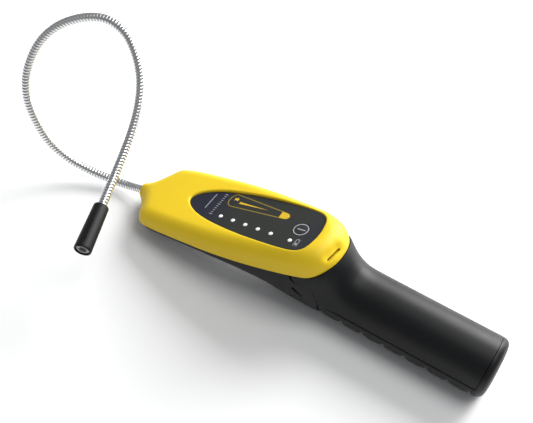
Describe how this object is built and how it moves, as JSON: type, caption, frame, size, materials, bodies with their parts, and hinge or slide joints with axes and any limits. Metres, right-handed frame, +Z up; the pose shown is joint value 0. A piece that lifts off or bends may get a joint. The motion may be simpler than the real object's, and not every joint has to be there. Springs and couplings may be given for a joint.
{
  "type": "portable gas detector",
  "caption": "Hand-held battery gas leak detector with a pistol-angled head, round ribbed battery handle and a self-supporting flexible neck that carries the gas sensor.",
  "frame": {"origin": "middle of the flat on the underside of the handle, at the level on which the object rests", "axes": "+X along the handle from the head to the closed end, +Y across to the left, +Z up; the head's label faces up and forward"},
  "size_m": [0.3725, 0.1275, 0.1275],
  "materials": {
    "yellow_abs": "satin moulded",
    "black_abs": "satin moulded",
    "membrane_film": "satin printed film",
    "clear_lens": "clear moulded",
    "board_laminate": "solder mask",
    "dark_plastic": "matt",
    "spring_steel": "nickel plated",
    "neck_chrome": "bright plated",
    "cell_jacket": "printed jacket",
    "screw_steel": "zinc plated",
    "wire_insulation": "smooth",
    "sensor_steel": "satin"
  },
  "bodies": {
    "casing": {"head_cover": "yellow_abs", "lower_housing": "black_abs", "handle_shell": "black_abs", "membrane_label": "membrane_film", "circuit_board": "board_laminate", "key_switch": "dark_plastic", "sounder": "dark_plastic", "sensor_connector": "dark_plastic", "sensor_lead": "dark_plastic", "supply_lead": "wire_insulation", "return_lead": "wire_insulation", "front_contact": "spring_steel", "return_strip": "spring_steel", "battery_front": "cell_jacket", "battery_rear": "cell_jacket", "neck_bush": "sensor_steel", "led_1": "clear_lens", "led_2": "clear_lens", "led_3": "clear_lens", "led_4": "clear_lens", "led_5": "clear_lens", "led_6": "clear_lens", "board_screw_1": "screw_steel", "board_screw_2": "screw_steel", "board_screw_3": "screw_steel", "board_screw_4": "screw_steel", "cover_screw_1": "screw_steel", "cover_screw_2": "screw_steel", "cover_screw_3": "screw_steel", "cover_screw_4": "screw_steel", "handle_screw_1": "screw_steel", "handle_screw_2": "screw_steel"},
    "power_key": {"power_key": "membrane_film"},
    "battery_door": {"battery_door": "black_abs", "contact_spring": "spring_steel"},
    "neck_1": {"neck_segment_1": "neck_chrome"},
    "neck_2": {"neck_segment_2": "neck_chrome"},
    "neck_3": {"neck_segment_3": "neck_chrome"},
    "neck_4": {"neck_segment_4": "neck_chrome"},
    "neck_5": {"neck_segment_5": "neck_chrome"},
    "neck_6": {"neck_segment_6": "neck_chrome"},
    "neck_7": {"neck_segment_7": "neck_chrome", "sensor_socket": "dark_plastic"},
    "gas_sensor": {"gas_sensor": "sensor_steel", "sensor_gauze": "dark_plastic"},
    "sensor_sleeve": {"sensor_sleeve": "black_abs"}
  },
  "joints": [
    {"name": "power_key_press", "type": "slide", "parent": "casing", "child": "power_key", "axis": [0.2974, 0, -0.9548], "range_m": [0, 0.0004], "stiffness_N_per_m": 4000},
    {"name": "battery_door_slide", "type": "slide", "parent": "casing", "child": "battery_door", "axis": [1, 0, 0], "range_m": [0, 0.125]},
    {"name": "neck_bend_1", "type": "hinge", "parent": "casing", "child": "neck_1", "pos_m": [-0.2141, 0, 0.0108], "axis": [-0.0091, 1, 0], "range_deg": [-25, 25]},
    {"name": "neck_bend_2", "type": "hinge", "parent": "neck_1", "child": "neck_2", "pos_m": [-0.26291, -0.0083, 0.01146], "axis": [-0.3561, -0.1152, -0.9273], "range_deg": [-25, 25]},
    {"name": "neck_bend_3", "type": "hinge", "parent": "neck_2", "child": "neck_3", "pos_m": [-0.29574, -0.01703, 0.04743], "axis": [0.0557, 0.9984, 0], "range_deg": [-25, 25]},
    {"name": "neck_bend_4", "type": "hinge", "parent": "neck_3", "child": "neck_4", "pos_m": [-0.30444, -0.00234, 0.09378], "axis": [0.2688, 0.7984, -0.5388], "range_deg": [-25, 25]},
    {"name": "neck_bend_5", "type": "hinge", "parent": "neck_4", "child": "neck_5", "pos_m": [-0.27545, 0.02544, 0.12322], "axis": [0.4637, -0.886, 0], "range_deg": [-25, 25]},
    {"name": "neck_bend_6", "type": "hinge", "parent": "neck_5", "child": "neck_6", "pos_m": [-0.2317, 0.02222, 0.10848], "axis": [-0.4893, 0.3793, -0.7853], "range_deg": [-25, 25]},
    {"name": "neck_bend_7", "type": "hinge", "parent": "neck_6", "child": "neck_7", "pos_m": [-0.21422, -0.01199, 0.07608], "axis": [-0.977, -0.2133, 0], "range_deg": [-25, 25]},
    {"name": "sensor_sleeve_pull", "type": "slide", "parent": "neck_7", "child": "sensor_sleeve", "axis": [0.3089, -0.9461, -0.0974], "range_m": [0, 0.045]},
    {"name": "gas_sensor_pull", "type": "slide", "parent": "neck_7", "child": "gas_sensor", "axis": [0.3089, -0.9461, -0.0974], "range_m": [0, 0.03]}
  ]
}
